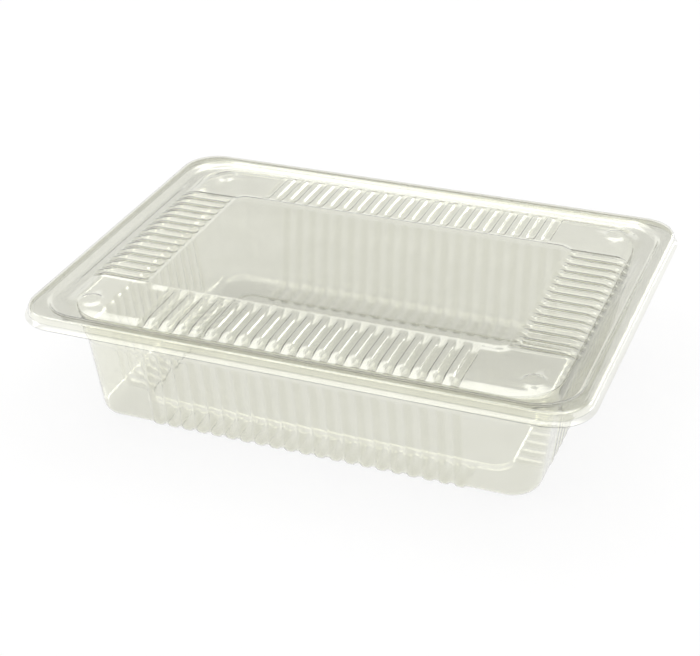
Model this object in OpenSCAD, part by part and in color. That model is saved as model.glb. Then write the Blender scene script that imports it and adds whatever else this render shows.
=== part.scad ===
/* [Rim] */
// Length over the tray's cut edge
rim_length = 275; // [230:1:320]
// Width over the tray's cut edge
rim_width = 200; // [160:1:240]
// Corner radius of the cut edge
rim_corner = 20; // [17:0.5:24]
// Distance from the cut edge in to the step down from the flange
flange_width = 7.6; // [6.5:0.1:10]
// Corner radius of that step
step_corner = 22; // [20:0.5:26]
// Height of the step from the flange down to the seat
step_depth = 2.6; // [1.8:0.1:4]
// Distance that the step's wall runs inwards on its way down
step_run = 2.1; // [1.2:0.1:3]
// Length of the lid's skirt below its flange
lid_skirt = 3.5; // [2.5:0.1:5]
// Distance from the lid's flange down to the tray's cut edge
cut_edge_drop = 6; // [5:0.1:8]
// Lean of both skirts from the vertical, in degrees
skirt_lean = 12; // [4:1:20]
// Distance that the fold of the flange lies inside the cut edge
fold_inset = 2; // [1:0.1:3]
// Size of the chamfer along that fold
fold_chamfer = 1.2; // [0.8:0.1:1.6]

/* [Sheet] */
// Thickness of the formed sheet
sheet = 0.6; // [0.4:0.05:0.7]
// Gap between the closed lid and the tray
nesting_gap = 0.3; // [0.2:0.05:0.4]

/* [Tray] */
// Height of the tray's flange above the table
tray_height = 63.1; // [45:0.1:90]
// Width of the seat round the mouth at the short ends
end_seat = 10.9; // [8:0.1:14]
// Width of the seat round the mouth along the long sides
side_seat = 6.9; // [6:0.1:12]
// Corner radius of the mouth
mouth_corner = 22; // [18:0.5:28]
// Lean of the tray's wall from the vertical, in degrees
wall_draft = 7.3; // [3:0.1:9]
// Depth of the smooth band under the mouth
smooth_band = 16; // [8:0.5:22]
// Step inwards from the smooth band to the fluted wall
band_step = 1; // [0.8:0.05:1.5]
// Radius of the bend between wall and floor
bottom_radius = 5.5; // [3:0.1:8]
// Width of the floor's fluted margin at the short ends
end_margin = 17; // [12:0.5:24]
// Width of the floor's fluted margin along the long sides
side_margin = 20; // [12:0.5:26]
// Corner radius of the raised floor panel
floor_corner = 9; // [5:0.5:14]
// Height that the floor panel rises above the margin
floor_rise = 1.5; // [0.8:0.1:3]

/* [Flutes] */
// Distance from one flute to the next
flute_pitch = 7.6; // [6.6:0.1:10]
// Width of a flute at its root
flute_root = 5; // [3.6:0.1:5.4]
// Width of a flute at its crest
flute_crest = 3; // [2:0.1:3.4]
// Height of a flute over the wall
flute_height = 0.95; // [0.5:0.05:1.2]
// Plain wall between a corner's start and the nearest flute's centre
flute_free = 17; // [10:0.5:30]

/* [Lid] */
// Width of the lid's groove at the short ends
end_groove = 9; // [6:0.1:10]
// Width of the lid's groove along the long sides
side_groove = 5.4; // [4.5:0.1:7]
// Corner radius of the lid's panel at its foot
panel_corner = 17.5; // [12:0.5:22]
// Distance that the panel's shoulder runs inwards on its way up
shoulder_run = 4.6; // [2.5:0.1:6]
// Height of the corner panels above the groove
panel_rise = 1.6; // [0.8:0.1:4]
// Width of the ribbed band at the short ends, from the panel's foot
end_band = 28.6; // [22:0.1:40]
// Width of the ribbed band along the long sides, from the panel's foot
side_band = 32; // [24:0.1:40]
// Corner radius of the window at its foot
window_corner = 7.8; // [4:0.1:14]
// Height of the window above the corner panels
window_rise = 1.4; // [0.5:0.1:3]
// Distance that the window's bevel runs inwards on its way up
window_bevel = 2.8; // [1:0.1:4]
// Radius of the round stacking nub on each corner panel
nub_radius = 5.5; // [2:0.1:6]
// Height of that nub
nub_rise = 0.7; // [0.4:0.1:1.5]
// Distance from the panel's foot to the nub's centre
nub_inset = 13; // [11:0.5:16]

/* [Lid ribs] */
// Height of a rib's top above the corner panels
rib_rise = 0.9; // [0.3:0.1:1.2]
// Depth of a slot's floor below the corner panels
slot_depth = 0.6; // [0.2:0.1:0.7]
// Width of a slot at its floor
slot_floor_width = 2.8; // [1.6:0.1:3.4]
// Width of a slot at the rib's tops
slot_top_width = 4.4; // [3:0.1:4.8]
// Length of the ramp from the window down to a slot's floor
slot_ramp = 7; // [3:0.1:9]
// Length of the ribs' rounded outer end, from the panel's foot
rib_end = 8; // [6:0.1:10]

/* [Hinge] */
// Length of the living hinge along the back edge
hinge_length = 200; // [80:1:210]
// Radius of the bead along the fold
bead_radius = 0.7; // [0.5:0.05:0.9]

/* [Hidden] */
$fn = 64;

// Small lengths that keep cutting and joining faces apart
over = 1;
sink = 0.3;
above = 3 * over;
below = 2 * over;

// Heights above the table, on the side that faces up
seat_top = tray_height - step_depth;
lid_top = tray_height + nesting_gap + sheet;
groove_floor = lid_top - step_depth;
panel_top = groove_floor + panel_rise;
window_top = panel_top + window_rise;
rib_top = panel_top + rib_rise;
slot_floor = panel_top - slot_depth;
lid_edge = lid_top - lid_skirt;
cut_edge = lid_top - cut_edge_drop;
band_bottom = seat_top - smooth_band;
nest = sheet + nesting_gap;

// Rounded outlines as [half length, half width, corner radius]
rim = [rim_length / 2, rim_width / 2, rim_corner];
step = inside(rim, flange_width, flange_width, step_corner);
mouth = inside(step, end_seat, side_seat, mouth_corner);
panel = inside(step, end_groove, side_groove, panel_corner);
window = inside(panel, end_band, side_band, window_corner);
wall_foot_inset = (seat_top - flute_height) * tan(wall_draft) + band_step;
floor_panel = inside(mouth, wall_foot_inset + end_margin, wall_foot_inset + side_margin, floor_corner);

function inside(outline, along, across, corner) = [outline[0] - along, outline[1] - across, corner];

// Unit vector to the left of the way from a to b
function left_of(a, b) = let (d = (b - a) / norm(b - a)) [-d[1], d[0]];

// Path shifted sideways by d, to the left where d is positive
function parallel(path, d) = [
    for (i = [0 : len(path) - 1])
        let (
            last = len(path) - 1,
            n1 = left_of(path[max(i - 1, 0)], path[max(i, 1)]),
            n2 = left_of(path[min(i, last - 1)], path[min(i + 1, last)])
        )
        path[i] + d * (n1 + n2) / (1 + n1 * n2)
];

function tail(path) = path[len(path) - 1];

// Section of the flange and skirt, from its middle out and down.
// Sections hold [distance from the corner's axis, height] and stand on the axis.
fold = rim_corner - fold_inset;
function skirt_at(height) = fold + (lid_top - fold_chamfer - height) * tan(skirt_lean);
function flange_path(low) = [
    [0, lid_top],
    [fold - fold_chamfer, lid_top],
    [fold, lid_top - fold_chamfer],
    [skirt_at(low), low]
];
function lid_flange(depth) =
    let (path = parallel(flange_path(lid_edge - over * sign(depth)), -depth))
    concat(path, [[0, tail(path)[1]]]);

// The tray's skirt follows the lid's and flares out below it to the cut edge
lip_start = lid_edge - sheet / 2;
lip_share = 0.75;
lip_rise = lip_share * sheet;
function tray_flange_path() = concat(
    parallel(flange_path(lip_start), -nest),
    [[rim_corner, cut_edge + lip_rise]]
);
function tray_flange_top() = concat(tray_flange_path(), [[rim_corner, cut_edge], [0, cut_edge]]);
function tray_flange_under() =
    let (path = parallel(tray_flange_path(), -sheet))
    concat(path, [[tail(path)[0], cut_edge - over], [0, cut_edge - over]]);

// Section of the hollow above the seat, grown by depth
function step_hollow(depth) =
    let (
        slope = step_run / step_depth,
        path = parallel([
            [step_corner + over * slope, lid_top + over],
            [step_corner - step_run, groove_floor],
            [0, groove_floor]
        ], depth)
    )
    concat([[0, path[0][1]]], path);

// Section of the tray's tub, from the mouth down the wall and in along the floor
wall_top = mouth_corner;
band_foot = wall_top - (seat_top - band_bottom) * tan(wall_draft);
wall_head = band_foot - band_step;
bend_height = flute_height + bottom_radius;
bend_axis = wall_head - (band_bottom - band_step / 2 - bend_height) * tan(wall_draft)
    - bottom_radius / cos(wall_draft);
bend_steps = 6;
flute_bend_steps = 3;
function bend_points(steps) = [
    for (i = [0 : steps])
        let (a = wall_draft + i * (90 - wall_draft) / steps)
        [bend_axis + bottom_radius * cos(a), bend_height - bottom_radius * sin(a)]
];
function tub_path(high) = concat(
    [
        [wall_top + (high - seat_top) * tan(wall_draft), high],
        [band_foot, band_bottom],
        [wall_head, band_bottom - band_step / 2]
    ],
    bend_points(bend_steps),
    [[0, flute_height]]
);
function tub_section(high, depth) =
    let (path = parallel(tub_path(high), -depth))
    concat([[0, path[0][1]]], path);

// Section of the floor's raised panel, grown by depth
function floor_panel_section(depth) =
    let (
        path = parallel([
            [floor_corner, -over],
            [floor_corner, flute_height],
            [floor_corner - floor_rise, flute_height + floor_rise],
            [0, flute_height + floor_rise]
        ], -depth)
    )
    concat([[0, -over]], path);

// Sections of the lid's panel and window, sunk by depth
shoulder_ease = panel_rise / 12;
function panel_section(depth) =
    let (
        path = parallel([
            [0, panel_top],
            [panel_corner - shoulder_run - over, panel_top],
            [panel_corner - shoulder_run, panel_top - shoulder_ease],
            [panel_corner, groove_floor]
        ], -depth),
        low = groove_floor - depth - sheet / 2
    )
    concat(path, [[tail(path)[0], low], [0, low]]);
function window_section(depth) =
    let (
        path = parallel([
            [0, window_top],
            [window_corner - window_bevel, window_top],
            [window_corner, panel_top]
        ], -depth),
        low = groove_floor - depth - sheet / 2
    )
    concat(path, [[tail(path)[0], low], [0, low]]);

// Flutes and slots fill the straight wall and leave the corners plain
function row_half(outline) = floor((outline[0] - outline[2] - flute_free) / flute_pitch);
function row_half_short(outline) = floor((outline[1] - outline[2] - flute_free) / flute_pitch);
long_half = row_half(mouth);
short_half = row_half_short(mouth);

// Solid whose sides follow a rounded outline all round
module filled(outline, sides) {
    axis_x = outline[0] - outline[2];
    axis_y = outline[1] - outline[2];
    section = [for (p = sides) [max(p[0], 0), p[1]]];
    for (flip_x = [0, 1], flip_y = [0, 1])
        mirror([flip_x, 0, 0])
            mirror([0, flip_y, 0])
                translate([axis_x, axis_y, 0])
                    rotate_extrude(angle = 90)
                        polygon(section);
    rotate([90, 0, 90])
        bar(2 * axis_x, axis_y, section);
    rotate([90, 0, 0])
        bar(2 * axis_y, axis_x, section);
}

// Straight bar with the section on both sides, out from a middle strip
module bar(length, half_strip, section) {
    right = [for (p = section) [half_strip + p[0], p[1]]];
    left = [for (i = [len(section) - 1 : -1 : 0]) [-half_strip - section[i][0], section[i][1]]];
    linear_extrude(length, center = true)
        polygon(concat(right, left));
}

// Turns a side that faces the front to each of a pair of opposite sides
module both_sides(first_angle) {
    for (angle = [first_angle, first_angle + 180])
        rotate([0, 0, angle])
            children();
}

// Comb of flutes across their run, shrunk by depth and backed by a block.
// Its y is the distance out from the wall's face.
module flute_comb(half_count, block, depth) {
    slope = (flute_root - flute_crest) / 2 / flute_height;
    narrower = depth * tan(atan(1 / slope) / 2);
    root = flute_root / 2 - narrower;
    tip = root - (flute_height + sink) * slope;
    crest_y = flute_height + sink - depth;
    valley_y = -(flute_pitch / 2 - root) / slope - depth;
    end = (half_count + 0.5) * flute_pitch;
    teeth = [
        for (i = [-half_count : half_count], p = [[-tip, crest_y], [tip, crest_y], [flute_pitch / 2, valley_y]])
            [i * flute_pitch + p[0], p[1]]
    ];
    mirror([0, 1])
        polygon(concat([[-end, -block], [-end, valley_y]], teeth, [[end, -block]]));
}

// Flutes of one side, from the smooth band down the wall and across the floor's margin:
// where a bent slab, a comb along the wall and a comb along the floor meet
module side_flutes(half_strip, reach_in, half_count, depth) {
    wall_foot = wall_head - (band_bottom - band_step / 2 + over) * tan(wall_draft);
    high = band_bottom + sink;
    path = parallel(concat(
        [[wall_head + (band_step / 2 + sink) * tan(wall_draft), high]],
        bend_points(flute_bend_steps),
        [[-reach_in, flute_height]]
    ), flute_height - depth);
    slab = concat(path, [[-reach_in, high]]);
    block = mouth_corner + reach_in + over;
    intersection() {
        rotate([90, 0, -90])
            linear_extrude(2 * (half_count + 1) * flute_pitch, center = true)
                polygon([for (p = slab) [half_strip + p[0], p[1]]]);
        translate([0, -half_strip - wall_foot, -over])
            rotate([wall_draft, 0, 0])
                translate([0, 0, -block * tan(wall_draft)])
                    linear_extrude(high + block)
                        flute_comb(half_count, block, depth);
        translate([0, 0, flute_height])
            rotate([90, 0, 0])
                linear_extrude(half_strip + mouth_corner + over)
                    flute_comb(half_count, high + over, depth);
    }
}

module all_flutes(depth) {
    strip_x = mouth[0] - mouth_corner;
    strip_y = mouth[1] - mouth_corner;
    both_sides(0)
        side_flutes(strip_y, strip_y - floor_panel[1] + over, long_half, depth);
    both_sides(90)
        side_flutes(strip_x, strip_x - floor_panel[0] + over, short_half, depth);
}

// Tray: fluted tub, seat round the mouth, flange and skirt, in one sheet
module base_tray() {
    color([0.86, 0.88, 0.83, 0.5])
        difference() {
            union() {
                difference() {
                    filled(rim, tray_flange_top());
                    filled(step, step_hollow(nest));
                    difference() {
                        filled(rim, tray_flange_under());
                        filled(step, step_hollow(nest + sheet));
                    }
                }
                difference() {
                    union() {
                        filled(mouth, tub_section(seat_top - sheet / 2, 0));
                        all_flutes(0);
                    }
                    filled(floor_panel, floor_panel_section(0));
                }
            }
            difference() {
                union() {
                    filled(mouth, tub_section(tray_height, sheet));
                    all_flutes(sheet);
                }
                filled(floor_panel, floor_panel_section(sheet));
            }
        }
}

// Section across a raised band of ribs, from the window out to the panel's foot
rib_ease_run = rib_end / 4;
rib_ease = rib_rise / 4;
function band_section(foot, width, depth) =
    let (
        path = parallel([
            [foot - width - window_bevel, rib_top],
            [foot - rib_end, rib_top],
            [foot - rib_end + rib_ease_run, rib_top - rib_ease],
            [foot, groove_floor]
        ], -depth),
        low = groove_floor - depth - sheet / 2
    )
    concat([[path[0][0], low]], path, [[tail(path)[0], low]]);

// Region above the slots' floors, from the ramp at the window to the panel's foot
function slot_section(foot, width, ramp, depth) =
    let (
        start = foot - width - window_bevel,
        slope = (window_top - slot_floor) / ramp,
        path = parallel([
            [start - over, window_top + over * slope],
            [start + ramp, slot_floor],
            [foot - rib_end + over, slot_floor],
            [foot, groove_floor],
            [foot + over, groove_floor]
        ], -depth),
        high = window_top + above
    )
    concat(path, [[tail(path)[0], high], [path[0][0], high]]);

// Slots in a row, as the section across them
module slot_teeth(half_count, depth) {
    slope = (slot_top_width - slot_floor_width) / 2 / (rib_top - slot_floor);
    half = parallel([
        [slot_floor_width / 2 - over, slot_floor],
        [slot_floor_width / 2, slot_floor],
        [slot_top_width / 2 + above * slope, rib_top + above]
    ], -depth);
    low = slot_floor - depth - below;
    slim = half[1][0] - (half[1][1] - low) * slope;
    for (i = [-half_count : half_count])
        translate([i * flute_pitch, 0])
            polygon([
                [-slim, low],
                [slim, low],
                [half[2][0], half[2][1]],
                [-half[2][0], half[2][1]]
            ]);
}

// Raised band of one side, before its slots are cut
module side_band_solid(foot, width, half_length, depth) {
    rotate([90, 0, -90])
        linear_extrude(2 * (half_length - depth), center = true)
            polygon(band_section(foot, width, depth));
}

// Slots of one side
module side_slots(foot, width, ramp, half_count, depth) {
    intersection() {
        rotate([90, 0, -90])
            linear_extrude(2 * (half_count + 1) * flute_pitch, center = true)
                polygon(slot_section(foot, width, ramp, depth));
        rotate([90, 0, 0])
            linear_extrude(foot + 2 * over)
                slot_teeth(half_count, depth);
    }
}

// Everything below the lid's upper face, sunk by depth
module lid_body(depth) {
    long_raised = long_half * flute_pitch;
    short_raised = (short_half + 1) * flute_pitch - slot_top_width / 2;
    end_ramp = slot_ramp / 2;
    difference() {
        filled(rim, lid_flange(depth));
        filled(step, step_hollow(depth));
    }
    difference() {
        union() {
            filled(panel, panel_section(depth));
            filled(window, window_section(depth));
            both_sides(0)
                side_band_solid(panel[1], side_band, long_raised, depth);
            both_sides(90)
                side_band_solid(panel[0], end_band, short_raised, depth);
            for (flip_x = [0, 1], flip_y = [0, 1])
                mirror([flip_x, 0, 0])
                    mirror([0, flip_y, 0])
                        translate([panel[0] - nub_inset, panel[1] - nub_inset, slot_floor - depth])
                            cylinder(slot_depth + nub_rise, nub_radius + nub_rise, nub_radius - depth / 2);
        }
        both_sides(0)
            side_slots(panel[1], side_band, slot_ramp, long_half, depth);
        both_sides(90)
            side_slots(panel[0], end_band, end_ramp, short_half, depth);
    }
}

// Lid: flange and skirt over the tray's, groove, ribbed bands and window, in one sheet
hinge_y = rim_width / 2 + sheet / 2;
hinge_z = cut_edge + lip_rise + bead_radius + nesting_gap;
module lid() {
    leaf_start = rim_width / 2 - rim_corner + skirt_at(lid_edge) - sheet;
    leaf_end = hinge_y - bead_radius;
    color([0.9, 0.92, 0.88, 0.4]) {
        difference() {
            lid_body(0);
            lid_body(sheet);
        }
        translate([-hinge_length / 2, leaf_start, lid_edge])
            cube([hinge_length, leaf_end - leaf_start, sheet]);
    }
}

// Living hinge: strip on the tray's cut edge with the fold's bead along its top
module living_hinge() {
    color([0.9, 0.92, 0.88, 0.6]) {
        translate([-hinge_length / 2, rim_width / 2, cut_edge])
            cube([hinge_length, sheet, hinge_z - cut_edge]);
        translate([0, hinge_y, hinge_z])
            rotate([0, 90, 0])
                cylinder(hinge_length, r = bead_radius, center = true);
    }
}

base_tray();
lid();
living_hinge();
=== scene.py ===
# %% [markdown]
# # A clear clamshell food pack
# The imported CAD model comes in first, as a fixed frame of the tray, the lid and the living hinge.

# %% Loading the frame
import math

import bmesh
import bpy
from mathutils import Matrix, Vector


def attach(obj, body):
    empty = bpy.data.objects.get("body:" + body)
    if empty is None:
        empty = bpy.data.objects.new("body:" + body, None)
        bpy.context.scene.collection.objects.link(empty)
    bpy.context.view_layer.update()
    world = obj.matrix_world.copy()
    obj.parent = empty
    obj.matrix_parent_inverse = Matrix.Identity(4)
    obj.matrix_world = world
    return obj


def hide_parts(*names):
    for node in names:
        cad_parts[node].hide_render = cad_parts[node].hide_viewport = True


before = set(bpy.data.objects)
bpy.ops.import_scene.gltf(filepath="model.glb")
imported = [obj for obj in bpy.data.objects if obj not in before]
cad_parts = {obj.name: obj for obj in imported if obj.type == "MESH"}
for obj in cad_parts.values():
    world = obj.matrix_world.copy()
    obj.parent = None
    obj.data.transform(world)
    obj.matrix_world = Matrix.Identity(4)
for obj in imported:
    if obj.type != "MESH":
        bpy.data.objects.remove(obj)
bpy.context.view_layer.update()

MM = 0.001

# %% [markdown]
# ## The camera
# The photograph looks down on the front of the pack from the right, through a long lens.
# A camera could be aimed at the pack by a constraint. One that is turned by unit vectors needs no
# aiming, so its view stays the same whatever else changes.

# %% Camera
# The lens in millimetres
SENSOR_WIDTH = 36
FOCAL_LENGTH = 83.91
# How far it sees, and where it stands, in metres
FARTHEST_SEEN = 20
CAMERA_PLACE = (0.2594, -0.6529, 0.4301)
# Where the camera's right side and its back point
CAMERA_RIGHT = (0.9297, 0.3677, -0.0182)
CAMERA_BACK = (0.3278, -0.8041, 0.4959)
lens_data = bpy.data.cameras.new("photo_camera")
lens_data.sensor_fit = "HORIZONTAL"
lens_data.sensor_width = SENSOR_WIDTH
lens_data.lens = FOCAL_LENGTH
lens_data.clip_end = FARTHEST_SEEN
camera = bpy.data.objects.new("photo_camera", lens_data)
bpy.context.scene.collection.objects.link(camera)
camera_back = Vector(CAMERA_BACK).normalized()
camera_up = camera_back.cross(Vector(CAMERA_RIGHT).normalized()).normalized()
camera_right = camera_up.cross(camera_back)
turn = Matrix((camera_right, camera_up, camera_back)).transposed().to_4x4()
camera.matrix_world = Matrix.Translation(CAMERA_PLACE) @ turn
bpy.context.scene.camera = camera
print("camera stands", round(camera.location.length, 3), "m from the pack")

# %% [markdown]
# ## How a formed sheet is drawn
# Such a pack is one thin sheet, drawn by vacuum over a mould, so every bend in it is soft.
# It could be cut from blocks, but then each bend would need its own bevel. Here it is a stack of
# closed rings, from the cut edge inwards. The first ring is a circle primitive whose points are laid
# along a rounded rectangle, and each next ring is extruded from the last one. All rings have the same
# number of points, in columns: some columns run along the flutes and ribs, and others go round the
# corners.

# %% Points along a side
# Each corner has an arc and a few points on the straight before and after it
LEAD_COLUMNS = 2
ARC_COLUMNS = 12
CORNER_COLUMNS = 2 * LEAD_COLUMNS + ARC_COLUMNS
# The sides are numbered from the front one, anticlockwise seen from above
SIDE_NORMALS = [Vector((0, -1, 0)), Vector((1, 0, 0)), Vector((0, 1, 0)), Vector((-1, 0, 0))]
CORNER_SIGNS = [(1, -1), (1, 1), (-1, 1), (-1, -1)]


def quarter_turn(x, y, quarters):
    """The point turned by so many quarters, anticlockwise seen from above."""
    for _ in range(quarters):
        x, y = -y, x
    return x, y


def side_place(outline, side, along):
    """The point of a rounded rectangle that lies so far along one side, in millimetres."""
    half_length, half_width, radius = outline
    half, out = (half_length, half_width) if side % 2 == 0 else (half_width, half_length)
    past = max(0.0, abs(along) - (half - radius))
    out -= radius - math.sqrt(radius**2 - past**2)
    return quarter_turn(along, -out, side)


print("a corner has", CORNER_COLUMNS, "columns")


# %% Points round a corner
def corner_places(outline, corner, ends):
    """The points between the last column of one side and the first of the next side, round the
    corner. A side whose columns reach into the arc needs no points on the straight."""
    half_length, half_width, radius = outline
    halves = (half_length, half_width) if corner % 2 == 0 else (half_width, half_length)
    straight = [half - radius for half in halves]
    last = [ends[corner % 2], ends[(corner + 1) % 2]]
    leads = [LEAD_COLUMNS if straight[i] > last[i] else 0 for i in range(2)]
    arcs = CORNER_COLUMNS - sum(leads)
    # Without such points, that end of the arc is the side's last column, which is there already
    skipped = [0 if lead else 1 for lead in leads]
    start = math.asin(max(last[0] - straight[0], 0) / radius)
    stop = math.pi / 2 - math.asin(max(last[1] - straight[1], 0) / radius)
    places = []
    for i in range(leads[0]):
        share = (i + 1) / (LEAD_COLUMNS + 1)
        places.append(side_place(outline, corner, last[0] + share * (straight[0] - last[0])))
    centre_x, centre_y = half_length - radius, half_width - radius
    sign_x, sign_y = CORNER_SIGNS[corner]
    for i in range(arcs):
        angle = start + (stop - start) * (i + skipped[0]) / (arcs - 1 + sum(skipped))
        x, y = quarter_turn(math.sin(angle), -math.cos(angle), corner)
        places.append((sign_x * centre_x + radius * x, sign_y * centre_y + radius * y))
    for i in range(leads[1]):
        share = (LEAD_COLUMNS - i) / (LEAD_COLUMNS + 1)
        along = last[1] + share * (straight[1] - last[1])
        places.append(side_place(outline, (corner + 1) % 4, -along))
    return places


# %% Points of a whole ring
def ring_places(ring, sides):
    """All points of one ring, in metres. sides holds the places of the columns along a long side
    and along a short one."""
    outline, height = ring[:3], ring[3]
    ends = [sides[0][-1], sides[1][-1]]
    flat = []
    for side in range(4):
        flat += [side_place(outline, side, along) for along in sides[side % 2]]
        flat += corner_places(outline, side, ends)
    return [Vector((x * MM, y * MM, height * MM)) for x, y in flat]


def column_marks(sides):
    """The side and the place along it of each column, and no side for a column of a corner."""
    marks = []
    for side in range(4):
        marks += [(side, along) for along in sides[side % 2]]
        marks += [(None, 0.0)] * CORNER_COLUMNS
    return marks


# %% Extruding rings into a shell
# Painted shade, from 0 to 1, that darkens the sheet's tint: a little at the rim and more further in.
# It stands in for the darker tones that reflections give the real sheet.
PAINTED_RIM_SHADE = 0.2
PAINTED_WALL_SHADE = 0.5


def deselect():
    bpy.ops.object.select_all(action="DESELECT")


def mark_layers(edited):
    """The layers that hold each point's column, its ring and its painted shade."""
    whole, split = edited.verts.layers.int, edited.verts.layers.float
    return whole["column"], whole["level"], split["painted_shade"]


def draw_shell(name, rings, sides, rim_rings):
    """A circle laid along the first ring and extruded from ring to ring, open in the middle.
    The first rim_rings of the rings are the rim."""
    deselect()
    marks = column_marks(sides)
    bpy.ops.mesh.primitive_circle_add(vertices=len(marks), radius=rings[0][0] * MM)
    shell = bpy.context.active_object
    shell.name = shell.data.name = name
    bpy.ops.object.mode_set(mode="EDIT")
    bpy.ops.mesh.select_mode(type="VERT")
    bpy.ops.mesh.select_all(action="SELECT")
    edited = bmesh.from_edit_mesh(shell.data)
    edited.verts.layers.int.new("column")
    edited.verts.layers.int.new("level")
    edited.verts.layers.float.new("painted_shade")
    column = mark_layers(edited)[0]
    edited.verts.ensure_lookup_table()
    for number, place in enumerate(ring_places(rings[0], sides)):
        edited.verts[number][column] = number
        edited.verts[number].co = place
    for number, ring in enumerate(rings[1:], 1):
        bmesh.update_edit_mesh(shell.data)
        bpy.ops.mesh.extrude_region()
        edited = bmesh.from_edit_mesh(shell.data)
        column, level, shade_attribute = mark_layers(edited)
        places = ring_places(ring, sides)
        for point in edited.verts:
            if point.select:
                point[level] = number
                # The rim gets less painted shade than the rings further in
                point[shade_attribute] = PAINTED_RIM_SHADE if number < rim_rings else PAINTED_WALL_SHADE
                point.co = places[point[column]]
    bmesh.update_edit_mesh(shell.data)
    print(name, len(rings), "rings of", len(marks), "points")
    return shell, marks


# %% Moving the columns of a ring
def pick(edited, wanted):
    """Selects the points for which wanted is true, and the edges and faces between them."""
    for point in edited.verts:
        point.select = wanted(point)
    edited.select_flush_mode()


def shape_ring(shell, marks, number, move_of):
    """Moves the columns of one ring. move_of gives a column's move in millimetres and its painted
    shade there. Columns that move alike are moved together, and a column with no move and no painted
    shade stays as it is."""
    groups = {}
    for index, mark in enumerate(marks):
        move, painted_shade = move_of(*mark)
        key = (round(move[0], 3), round(move[1], 3), round(move[2], 3), round(painted_shade, 3))
        groups.setdefault(key, set()).add(index)
    for key, columns in groups.items():
        if not any(key):
            continue
        edited = bmesh.from_edit_mesh(shell.data)
        column, level, shade_attribute = mark_layers(edited)
        pick(edited, lambda p: p[level] == number and p[column] in columns)
        for point in edited.verts:
            if point.select:
                point[shade_attribute] = key[3]
        bmesh.update_edit_mesh(shell.data)
        bpy.ops.transform.translate(value=Vector(key[:3]) * MM)


# %% Finishing a shell
def apply_modifier(shell, kind, **settings):
    """Adds a modifier with these settings and applies it."""
    modifier = shell.modifiers.new(kind.title(), kind)
    for key, value in settings.items():
        setattr(modifier, key, value)
    bpy.ops.object.modifier_apply(modifier=modifier.name)


# The innermost ring lies within these half sizes, and the cut edge outside them, in metres
MIDDLE_X = 0.1
MIDDLE_Y = 0.06
SAME_PLACE = 0.00001


def close_middle(shell):
    """Closes the middle with one flat face and makes all faces look the same way, up."""
    edited = bmesh.from_edit_mesh(shell.data)
    pick(edited, lambda p: p.is_boundary and abs(p.co.x) < MIDDLE_X and abs(p.co.y) < MIDDLE_Y)
    bmesh.update_edit_mesh(shell.data)
    bpy.ops.mesh.edge_face_add()
    bpy.ops.mesh.select_all(action="SELECT")
    bpy.ops.mesh.remove_doubles(threshold=SAME_PLACE)
    bpy.ops.mesh.normals_make_consistent(inside=False)
    edited = bmesh.from_edit_mesh(shell.data)
    middle = max(edited.faces, key=lambda face: face.calc_area())
    if middle.normal.z < 0:
        bpy.ops.mesh.flip_normals()
    print(shell.name, "middle face has", len(middle.verts), "points")
    bpy.ops.object.mode_set(mode="OBJECT")


# The sheet's thickness in millimetres, and the angle from which an edge stays sharp
SHEET = 0.4
SMOOTH_ANGLE = math.radians(70)


def thicken(shell):
    """Gives the sheet its thickness, below the face that was built, and drops the working marks."""
    apply_modifier(shell, "SOLIDIFY", thickness=SHEET * MM, offset=-1, use_even_offset=True)
    bpy.ops.object.shade_smooth_by_angle(angle=SMOOTH_ANGLE)
    for name in ("column", "level"):
        shell.data.attributes.remove(shell.data.attributes[name])
    print(shell.name, sum(len(face.vertices) - 2 for face in shell.data.polygons), "triangles")


# %% [markdown]
# ## The base tray
# The tray's sheet starts at the cut edge, climbs the skirt, lies flat as the flange, steps down to
# the seat that carries the lid, and goes over the mouth into the tub. Under a smooth band the wall
# has 21 flutes on a long side and 13 on a short one. They run down the wall, round the bend and
# across the margin of the floor to its raised panel. An array of separate flutes would leave seams,
# so the wall is drawn plain first, and then the flutes' columns are moved out of it, ring by ring.

# %% Columns along the tray's sides
FLUTE_PITCH = 7.6
# Flutes on either side of the middle one, on a long side and on a short one
LONG_HALF = 10
SHORT_HALF = 6


def row_columns(half_count, offsets, extra=()):
    """Places along a side: the same offsets on both sides of each middle, and extra ones."""
    middles = [i * FLUTE_PITCH for i in range(-half_count, half_count + 1)]
    inner = {round(m + sign * o, 3) for m in middles for o in offsets for sign in (-1, 1)}
    return sorted(inner | {sign * e for e in extra for sign in (-1, 1)})


# A flute has ten columns, and these are the places from its crest to the root beside it
PITCH_COLUMNS = 10
FLUTE_STEPS = [FLUTE_PITCH * step / PITCH_COLUMNS for step in range(PITCH_COLUMNS // 2 + 1)]
tray_sides = [row_columns(LONG_HALF, FLUTE_STEPS), row_columns(SHORT_HALF, FLUTE_STEPS)]
print("columns on a long side", len(tray_sides[0]), "and on a short one", len(tray_sides[1]))

# %% The tray's rings
# A ring is half a length, half a width, a corner radius and a height, in millimetres
tray_rim = [
    (137.45, 99.95, 19.95, 58.45),
    (136.9, 99.4, 19.4, 58.8),
    (136.0, 98.5, 18.5, 59.5),
    (135.4, 97.9, 17.9, 60.0),
    (134.95, 97.45, 17.5, 60.9),
    (134.62, 97.12, 17.1, 62.2),
    (134.3, 96.8, 16.8, 62.75),
    (133.7, 96.2, 16.2, 63.07),
    (132.6, 95.1, 17.0, 63.1),
    (131.0, 93.5, 22.0, 63.1),
    (130.3, 92.8, 22.2, 62.95),
    (129.2, 91.7, 21.3, 61.8),
    (128.2, 90.7, 20.4, 60.6),
    (127.4, 90.0, 20.0, 60.5),
    (120.0, 86.5, 22.0, 60.5),
    (118.8, 85.3, 22.0, 60.35),
    (118.2, 84.7, 21.4, 59.6),
    (116.5, 83.0, 19.6, 45.8),
]
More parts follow.
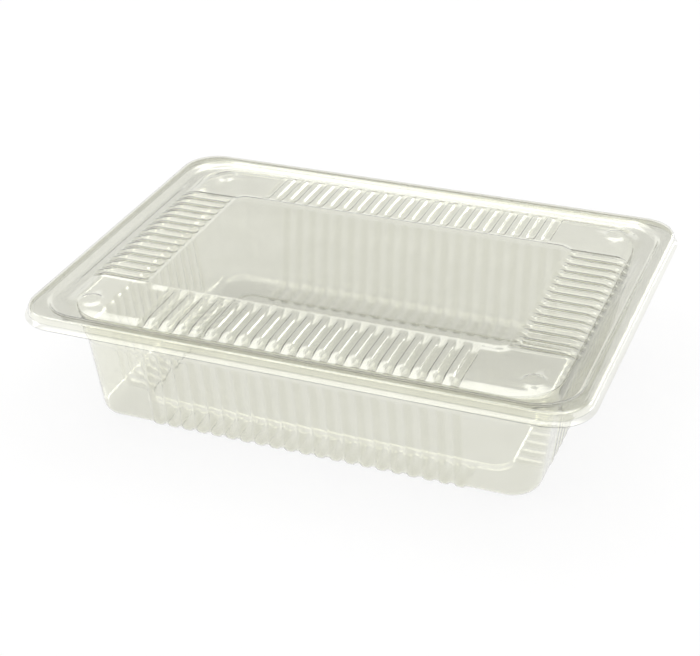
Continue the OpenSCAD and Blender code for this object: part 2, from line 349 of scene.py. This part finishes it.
# A fluted ring also has the angle of its crests' move, from outwards to down, and how far they go
CREST_DEPTH = 0.95
tray_wall = [
    (116.15, 82.65, 19.25, 44.6, 0, 0.3),
    (115.6, 82.1, 18.7, 43.6, 0, 0.7),
    (115.1, 81.6, 18.2, 42.4, 0, CREST_DEPTH),
    (113.0, 79.5, 16.1, 26.0, 0, CREST_DEPTH),
    (110.9, 77.4, 14.0, 9.0, 0, CREST_DEPTH),
]
# The bend from the wall to the floor starts at this ring and has a ring at each of its steps
BEND = (110.5, 77.0, 13.6, 6.35)
BEND_RADIUS = 4.9
BEND_ANGLE = 90
BEND_STEP = 15
tray_bend = []
for angle in range(0, BEND_ANGLE + 1, BEND_STEP):
    inset = BEND_RADIUS * (1 - math.cos(math.radians(angle)))
    drop = BEND_RADIUS * math.sin(math.radians(angle))
    outline = [size - inset for size in BEND[:3]]
    tray_bend.append((*outline, BEND[3] - drop, angle, CREST_DEPTH))
tray_margin = [
    (95.0, 58.5, 9.6, 1.45, BEND_ANGLE, CREST_DEPTH),
    (93.8, 57.3, 9.3, 1.5, BEND_ANGLE, 0.85),
]
tray_floor = [
    (93.4, 56.9, 9.0, 1.8),
    (92.9, 56.4, 8.7, 2.6),
    (92.4, 55.9, 8.4, 2.95),
    (91.5, 55.0, 7.7, 3.05),
    (91.0, 54.5, 7.4, 3.05),
]
tray_fluted = tray_wall + tray_bend + tray_margin
tray_rings = tray_rim + tray_fluted + tray_floor
print("the tray has", len(tray_rings), "rings, and", len(tray_fluted), "of them are fluted")

# %% Drawing the tray
tray, tray_marks = draw_shell("tray_shell", tray_rings, tray_sides, len(tray_rim))
# How far each place of FLUTE_STEPS stands out, from a flute's crest to its root
CREST_SHARES = [1.0, 0.98, 0.82, 0.18, 0.02, 0.0]
# The flutes of the two ends are shallower than those of the long sides
END_DEPTH = 0.45


def crest_share(along):
    """1 on a flute's crest and 0 between two flutes, with a steep flank in between."""
    off = abs(along - round(along / FLUTE_PITCH) * FLUTE_PITCH)
    return CREST_SHARES[round(PITCH_COLUMNS * off / FLUTE_PITCH)]


def painted_shade_at(share):
    """The painted shade where a column takes this share of the deepest move, most on a crest."""
    return PAINTED_WALL_SHADE + share * (1 - PAINTED_WALL_SHADE)


def flute_mover(angle, reach):
    """The moves of one fluted ring: crests go out of the wall, and below the bend they go down."""

    def move(side, along):
        if side is None:
            return (0, 0, 0), PAINTED_WALL_SHADE
        share = crest_share(along)
        out = SIDE_NORMALS[side] * math.cos(angle) - Vector((0, 0, math.sin(angle)))
        if side % 2 == 1:
            out *= END_DEPTH
        # Crests get the most painted shade, in place of the shading that reflections give them
        return out * reach * share, painted_shade_at(share)

    return move


for number, ring in enumerate(tray_fluted, len(tray_rim)):
    shape_ring(tray, tray_marks, number, flute_mover(math.radians(ring[4]), ring[5]))
close_middle(tray)
thicken(tray)
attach(tray, "tray")
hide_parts("base_tray")

# %% [markdown]
# ## The lid
# The lid's sheet starts at its skirt, folds over the tray's flange, drops into a groove that nests in
# the tray's step, and rises to a panel. Each side of the panel has a band of slots between ribs, a
# slot runs from the window out to the panel's foot, and the four corners stay plain. The slots could
# be cut out of a flat panel, but a formed sheet has no cut edges. So the rings are drawn plain, and
# then rib columns are pulled up and slot columns are pushed down, ring by ring.

# %% Columns along the lid's sides
# Places across a slot, from its middle out, and the share of the way from rib to slot there
SLOT_SHARES = {1.2: 1.0, 1.4: 0.93, 1.5: 0.83, 2.1: 0.17, 2.2: 0.07, 2.4: 0.0}
# Places across the ends of the outermost ribs of a short side, and the share of the rib's height
RIB_SHARES = {50.2: 1.0, 50.5: 0.93, 51.0: 0.07, 51.4: 0.0}
lid_sides = [row_columns(LONG_HALF, SLOT_SHARES), row_columns(SHORT_HALF, SLOT_SHARES, RIB_SHARES)]
print("columns on a long side", len(lid_sides[0]), "and on a short one", len(lid_sides[1]))

# %% The lid's rings
lid_rim = [
    (135.99, 98.49, 18.5, 60.5),
    (135.75, 98.25, 18.25, 61.7),
    (135.52, 98.02, 18.0, 62.9),
    (135.1, 97.6, 17.6, 63.65),
    (134.2, 96.7, 16.7, 63.98),
    (133.0, 95.5, 17.0, 64.0),
    (130.6, 93.1, 22.0, 64.0),
    (129.9, 92.4, 21.8, 63.85),
    (128.9, 91.4, 21.0, 62.7),
    (127.9, 90.4, 20.0, 61.55),
    (127.2, 89.8, 19.5, 61.4),
    (125.6, 89.2, 19.0, 61.4),
    (124.9, 88.9, 18.8, 61.4),
    (124.2, 88.6, 18.6, 61.4),
    (123.5, 88.3, 18.4, 61.4),
    (121.6, 87.4, 17.8, 61.4),
]
# Rings of the rim's groove that rise to a bead along the short sides, and by how much
BEAD_RISES = {12: 0.4, 13: 0.6, 14: 0.4}
# Rings lie close together where the nubs are lifted out of the panel. These are their steps inwards.
NUB_STEPS = (0.0, 0.9, 1.8, 2.7, 3.6, 4.5, 5.4, 6.3, 7.2, 8.1, 9.0)
# A banded ring also has the heights of its ribs and of its slots
lid_banded = [
    (120.9, 87.0, 17.5, 61.45, 61.5, 61.4),
    (118.6, 84.7, 15.4, 62.2, 62.3, 61.73),
    (116.6, 82.7, 13.6, 62.85, 63.1, 62.0),
    (115.6, 81.7, 12.8, 63.0, 63.5, 62.2),
    (114.6, 80.7, 12.0, 63.0, 63.72, 62.3),
    (113.6, 79.7, 11.2, 63.0, 63.85, 62.38),
    (112.5, 78.6, 10.6, 63.0, 63.88, 62.39),
    *[(111.5 - step, 77.6 - step, 10.0 - step, 63.0, 63.9, 62.4) for step in NUB_STEPS],
    (96.5, 61.5, 9.0, 63.0, 63.9, 62.4),
    (94.4, 59.4, 8.6, 63.0, 63.9, 62.45),
    (93.2, 57.2, 8.2, 63.0, 63.9, 63.0),
    (92.3, 55.2, 7.8, 63.02, 63.9, 63.6),
    (91.2, 53.9, 6.8, 63.55, 63.92, 63.9),
]
lid_window = [
    (89.7, 52.4, 5.4, 64.3),
    (89.2, 51.9, 5.2, 64.4),
    (88.8, 51.5, 5.0, 64.4),
]
lid_rings = lid_rim + lid_banded + lid_window
print("the lid has", len(lid_rings), "rings, and", len(lid_banded), "of them have ribs and slots")

# %% Moves of the lid's columns
# Where the outermost slots of a long side and of a short side lie
LAST_SLOTS = [LONG_HALF * FLUTE_PITCH, SHORT_HALF * FLUTE_PITCH]


def bead_mover(rise):
    """The moves of a ring of the bead, which only the short sides have."""

    def move(side, along):
        return (0, 0, rise if side in (1, 3) else 0), 0

    return move


def band_height(side, along, plain, rib, slot):
    """The height of a column in a band, and its painted shade there, deepest in the slots. On a long
    side no rib follows the outermost slot, and the height goes back to that of the plain corner."""
    far = abs(along)
    if side % 2 == 1 and far in RIB_SHARES:
        return plain + (rib - plain) * RIB_SHARES[far], PAINTED_WALL_SHADE
    nearest = min(round(far / FLUTE_PITCH) * FLUTE_PITCH, LAST_SLOTS[side % 2])
    share = SLOT_SHARES[round(abs(far - nearest), 3)]
    beside = plain if side % 2 == 0 and far > nearest and nearest == LAST_SLOTS[0] else rib
    return beside + (slot - beside) * share, painted_shade_at(share)


def band_mover(plain, rib, slot):
    """The moves of a banded ring, from its plain height to that of its ribs and slots."""

    def move(side, along):
        if side is None:
            return (0, 0, 0), PAINTED_WALL_SHADE
        height, painted_shade = band_height(side, along, plain, rib, slot)
        return (0, 0, height - plain), painted_shade

    return move


# %% Drawing the lid
lid, lid_marks = draw_shell("lid_shell", lid_rings, lid_sides, len(lid_rim))
for number, rise in BEAD_RISES.items():
    shape_ring(lid, lid_marks, number, bead_mover(rise))
for number, ring in enumerate(lid_banded, len(lid_rim)):
    shape_ring(lid, lid_marks, number, band_mover(*ring[3:]))
close_middle(lid)

# %% [markdown]
# A low round nub stands on each corner panel, so that packs stack without sliding. It could be a
# separate disc, but in the real sheet it is formed with the rest. The panel's rings lie close
# together there, so a nub is no more than points that are lifted, with a soft slope.

# %% Stacking nubs
# Place from the lid's middle, foot radius, width of the slope and rise, in millimetres
NUB_PLACE = (107.9, 74.0)
NUB_RADIUS = 6.2
NUB_SLOPE = 1.3
NUB_RISE = 0.95


def from_nub(point):
    """How far a point is from the middle of the nub in its own corner, in millimetres."""
    return math.hypot(abs(point.x) - NUB_PLACE[0] * MM, abs(point.y) - NUB_PLACE[1] * MM) / MM


bpy.ops.object.mode_set(mode="EDIT")
edited = bmesh.from_edit_mesh(lid.data)
lifted = 0
for point in edited.verts:
    share = min(1.0, max(0.0, (NUB_RADIUS - from_nub(point.co)) / NUB_SLOPE))
    point.co.z += NUB_RISE * MM * share**2 * (3 - 2 * share)
    lifted += share > 0
bmesh.update_edit_mesh(lid.data)
bpy.ops.object.mode_set(mode="OBJECT")
print("points lifted into nubs", lifted)
thicken(lid)
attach(lid, "cover")
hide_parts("lid")

# %% [markdown]
# The lid's skirt goes on as a narrow leaf to the fold of the living hinge, along the back edge.
# It could be one more ring of the lid, but it runs along one side only. So it is a cube primitive,
# stretched to the leaf's length, with bevelled edges.

# %% Hinge leaf
# Two opposite corners, in millimetres
LEAF_LOW = (-100.0, 97.9, 60.5)
LEAF_HIGH = (100.0, 99.6, 61.1)
LEAF_BEVEL = 0.15
LEAF_BEVEL_STEPS = 2
deselect()
leaf_middle = [(low + high) / 2 * MM for low, high in zip(LEAF_LOW, LEAF_HIGH)]
leaf_size = [(high - low) * MM for low, high in zip(LEAF_LOW, LEAF_HIGH)]
bpy.ops.mesh.primitive_cube_add(size=1, location=leaf_middle, scale=leaf_size)
leaf = bpy.context.active_object
leaf.name = leaf.data.name = "hinge_leaf"
bpy.ops.object.transform_apply(location=True, rotation=True, scale=True)
apply_modifier(leaf, "BEVEL", width=LEAF_BEVEL * MM, segments=LEAF_BEVEL_STEPS)
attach(leaf, "cover")
print("leaf is", round(leaf_size[1] / MM, 2), "mm wide")

# %% [markdown]
# ## Clear PET
# The sheet is clear with a slight warm green tint, and its bends show as light and dark lines. It
# could be a mix of see-through and glossy shaders, but a solid sheet that really refracts gives those
# lines by itself. Real packs are a little cloudy, so slow noise changes the tint and the roughness,
# and finer noise gives a faint waviness. A second tint is painted shade: it darkens the rim a little,
# the rest of the sheet more, and the crests and slots most, so that they stand out as shading would
# show them.

# %% A procedural clear plastic
PET_IOR = 1.575
# About how many waves each noise has to a metre, and how many finer layers it has
CLOUD_SCALE = 60
CLOUD_DETAIL = 3
WAVE_SCALE = 90
WAVE_DETAIL = 2
# The part of the slow noise over which the tint goes from deep to light
DEEP_BELOW = 0.3
LIGHT_ABOVE = 0.7
WAVE_STRENGTH = 0.1
WAVE_HEIGHT = 0.0003


def noise(tree, scale, detail):
    """Smooth noise over the object's own coordinates."""
    place = tree.nodes.new("ShaderNodeTexCoord")
    made = tree.nodes.new("ShaderNodeTexNoise")
    made.inputs["Scale"].default_value = scale
    made.inputs["Detail"].default_value = detail
    tree.links.new(place.outputs["Object"], made.inputs["Vector"])
    return made.outputs["Fac"]


def sheet_tint(tree, cloud, light, deep, shade_tint):
    """The sheet's colour: light or deep by the noise, and multiplied by shade_tint as far as its
    painted shade goes.
    """
    tint = tree.nodes.new("ShaderNodeValToRGB")
    for element, position, colour in zip(
        tint.color_ramp.elements, (DEEP_BELOW, LIGHT_ABOVE), (deep, light)
    ):
        element.position = position
        element.color = (*colour, 1)
    tree.links.new(cloud, tint.inputs["Fac"])
    # Each point's painted shade darkens the tint
    shade_attribute = tree.nodes.new("ShaderNodeAttribute")
    shade_attribute.attribute_name = "painted_shade"
    darker = tree.nodes.new("ShaderNodeMix")
    darker.data_type = "RGBA"
    darker.blend_type = "MULTIPLY"
    darker.inputs["B"].default_value = (*shade_tint, 1)
    tree.links.new(shade_attribute.outputs["Fac"], darker.inputs["Factor"])
    tree.links.new(tint.outputs["Color"], darker.inputs["A"])
    return darker.outputs["Result"]


def clear_sheet(name, light, deep, haze, shade_tint):
    """Clear plastic that refracts. haze is its least and its greatest roughness."""
    material = bpy.data.materials.new(name)
    material.use_nodes = True
    tree = material.node_tree
    shader = tree.nodes["Principled BSDF"]
    shader.inputs["Transmission Weight"].default_value = 1.0
    shader.inputs["IOR"].default_value = PET_IOR
    cloud = noise(tree, CLOUD_SCALE, CLOUD_DETAIL)
    colour = sheet_tint(tree, cloud, light, deep, shade_tint)
    tree.links.new(colour, shader.inputs["Base Color"])
    rough = tree.nodes.new("ShaderNodeMapRange")
    rough.inputs["To Min"].default_value = haze[0]
    rough.inputs["To Max"].default_value = haze[1]
    tree.links.new(cloud, rough.inputs["Value"])
    tree.links.new(rough.outputs["Result"], shader.inputs["Roughness"])
    bump = tree.nodes.new("ShaderNodeBump")
    bump.inputs["Strength"].default_value = WAVE_STRENGTH
    bump.inputs["Distance"].default_value = WAVE_HEIGHT
    tree.links.new(noise(tree, WAVE_SCALE, WAVE_DETAIL), bump.inputs["Height"])
    tree.links.new(bump.outputs["Normal"], shader.inputs["Normal"])
    return material


print("clear PET refracts by", PET_IOR)

# %% Finishes of the pack
LIGHT_PET = (0.985, 0.985, 0.945)
DEEP_PET = (0.965, 0.965, 0.92)
# Tints of the painted shade. The hinge has no painted shade, so its tint is plain white.
TRAY_SHADE_TINT = (0.89, 0.89, 0.855)
LID_SHADE_TINT = (0.92, 0.92, 0.885)
HINGE_SHADE_TINT = (1, 1, 1)
# Least and greatest roughness. A fold that has been bent is cloudier than the rest.
TRAY_HAZE = (0.015, 0.045)
LID_HAZE = (0.02, 0.05)
HINGE_HAZE = (0.05, 0.12)
tray_clear = clear_sheet("clear_pet_tray", LIGHT_PET, DEEP_PET, TRAY_HAZE, TRAY_SHADE_TINT)
lid_clear = clear_sheet("clear_pet_lid", LIGHT_PET, DEEP_PET, LID_HAZE, LID_SHADE_TINT)
hinge_clear = clear_sheet("clear_pet_hinge", LIGHT_PET, DEEP_PET, HINGE_HAZE, HINGE_SHADE_TINT)
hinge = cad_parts["living_hinge"]
for piece, finish in ((tray, tray_clear), (lid, lid_clear), (leaf, lid_clear), (hinge, hinge_clear)):
    piece.data.materials.clear()
    piece.data.materials.append(finish)
print("materials", [m.name for m in (tray_clear, lid_clear, hinge_clear)])

# %% [markdown]
# ## Floor, background and light
# The pack stands on a plain white floor, and everything behind it is white too. Clear plastic shows
# itself only by what it mirrors and bends. A sky that is white all over would leave it nearly
# invisible, and a picture of a studio would be one more file. So the camera sees plain white, and all
# other rays meet a sky made by height: bright at the horizon, dark above it, very bright in a ring
# high up, and dim overhead. Two soft lamps add light from the back right and the left.

# %% White floor that keeps a shadow
FLOOR_SIZE = 6
# Just under the pack, in metres
FLOOR_HEIGHT = -0.0002
PAPER_COLOUR = (0.9, 0.9, 0.9, 1)
PAPER_ROUGHNESS = 0.9
# How much of the floor is plain glow where the camera sees it. The rest takes the shadow.
FLOOR_GLOW = 0.9


def highest(tree, first, second):
    """The greater one of two values."""
    either = tree.nodes.new("ShaderNodeMath")
    either.operation = "MAXIMUM"
    tree.links.new(first, either.inputs[0])
    tree.links.new(second, either.inputs[1])
    return either.outputs[0]


def seen_by_camera(tree):
    """1 for what the camera sees directly, mirrored or through the plastic, and 0 for the rest."""
    path = tree.nodes.new("ShaderNodeLightPath")
    mirrored = highest(tree, path.outputs["Is Camera Ray"], path.outputs["Is Glossy Ray"])
    return highest(tree, mirrored, path.outputs["Is Transmission Ray"])


def mixed(tree, share, first, second, output):
    """Sends a mix of two shaders to the output, with this share of the second."""
    mix = tree.nodes.new("ShaderNodeMixShader")
    tree.links.new(share, mix.inputs["Fac"])
    tree.links.new(first.outputs[0], mix.inputs[1])
    tree.links.new(second.outputs[0], mix.inputs[2])
    tree.links.new(mix.outputs[0], tree.nodes[output].inputs["Surface"])


deselect()
bpy.ops.mesh.primitive_plane_add(size=FLOOR_SIZE, location=(0, 0, FLOOR_HEIGHT))
floor = bpy.context.active_object
floor.name = "floor"
paper = bpy.data.materials.new("white_paper")
paper.use_nodes = True
tree = paper.node_tree
matte = tree.nodes["Principled BSDF"]
matte.inputs["Base Color"].default_value = PAPER_COLOUR
matte.inputs["Roughness"].default_value = PAPER_ROUGHNESS
matte.inputs["Specular IOR Level"].default_value = 0.0
glow = tree.nodes.new("ShaderNodeEmission")
share = tree.nodes.new("ShaderNodeMath")
share.operation = "MULTIPLY"
share.inputs[1].default_value = FLOOR_GLOW
tree.links.new(seen_by_camera(tree), share.inputs[0])
mixed(tree, share.outputs[0], matte, glow, "Material Output")
floor.data.materials.append(paper)
print("floor is", FLOOR_SIZE, "m wide")

# %% Sky
# Brightness by the height of the direction, which is 0 at the horizon and 1 straight up
SKY_LEVELS = {
    0.0: 0.85,
    0.28: 0.8,
    0.4: 0.22,
    0.7: 0.2,
    0.83: 2.5,
    0.94: 3.4,
    0.965: 0.4,
    1.0: 0.35,
}
STRONGEST = max(SKY_LEVELS.values())
# Blue against red and green, for a sky that is a trace warm
SKY_BLUE = 0.98
world = bpy.data.worlds.new("studio")
bpy.context.scene.world = world
world.use_nodes = True
tree = world.node_tree
sky = tree.nodes["Background"]
direction = tree.nodes.new("ShaderNodeTexCoord")
split = tree.nodes.new("ShaderNodeSeparateXYZ")
tree.links.new(direction.outputs["Generated"], split.inputs[0])
ramp = tree.nodes.new("ShaderNodeValToRGB")
elements = ramp.color_ramp.elements
for number, (position, level) in enumerate(SKY_LEVELS.items()):
    # A new ramp has two elements already
    element = elements[number] if number < 2 else elements.new(position)
    element.position = position
    part = level / STRONGEST
    element.color = (part, part, part * SKY_BLUE, 1)
tree.links.new(split.outputs["Z"], ramp.inputs["Fac"])
tree.links.new(ramp.outputs["Color"], sky.inputs["Color"])
sky.inputs["Strength"].default_value = STRONGEST
white = tree.nodes.new("ShaderNodeBackground")
white.inputs["Color"].default_value = (1, 1, 1, 1)
path = tree.nodes.new("ShaderNodeLightPath")
mixed(tree, path.outputs["Is Camera Ray"], sky, white, "World Output")
print("the sky's strongest ring is at", STRONGEST)


# %% Soft lamps
def soft_lamp(name, place, size, power):
    """A rectangular lamp that looks at the middle of the pack's footprint."""
    lamp = bpy.data.lights.new(name, "AREA")
    lamp.shape = "RECTANGLE"
    lamp.size, lamp.size_y = size
    lamp.energy = power
    holder = bpy.data.objects.new(name, lamp)
    bpy.context.scene.collection.objects.link(holder)
    holder.location = place
    holder.rotation_euler = (-Vector(place)).to_track_quat("-Z", "Y").to_euler()


soft_lamp("back_right_softbox", place=(1.1, 1.5, 0.2), size=(1.4, 0.34), power=8)
soft_lamp("left_softbox", place=(-1.5, -0.3, 0.8), size=(0.6, 0.8), power=3)

# %% [markdown]
# ## Finish
# A pale studio picture is judged by its plain colours, so the view transform is Standard. A ray goes
# through many walls of clear sheet before it meets the floor, and with too few bounces it would end
# as a dark spot.

# %% Closing
BOUNCES = 32
bpy.context.scene.view_settings.view_transform = "Standard"
bpy.context.scene.cycles.max_bounces = BOUNCES
bpy.context.scene.cycles.transmission_bounces = BOUNCES
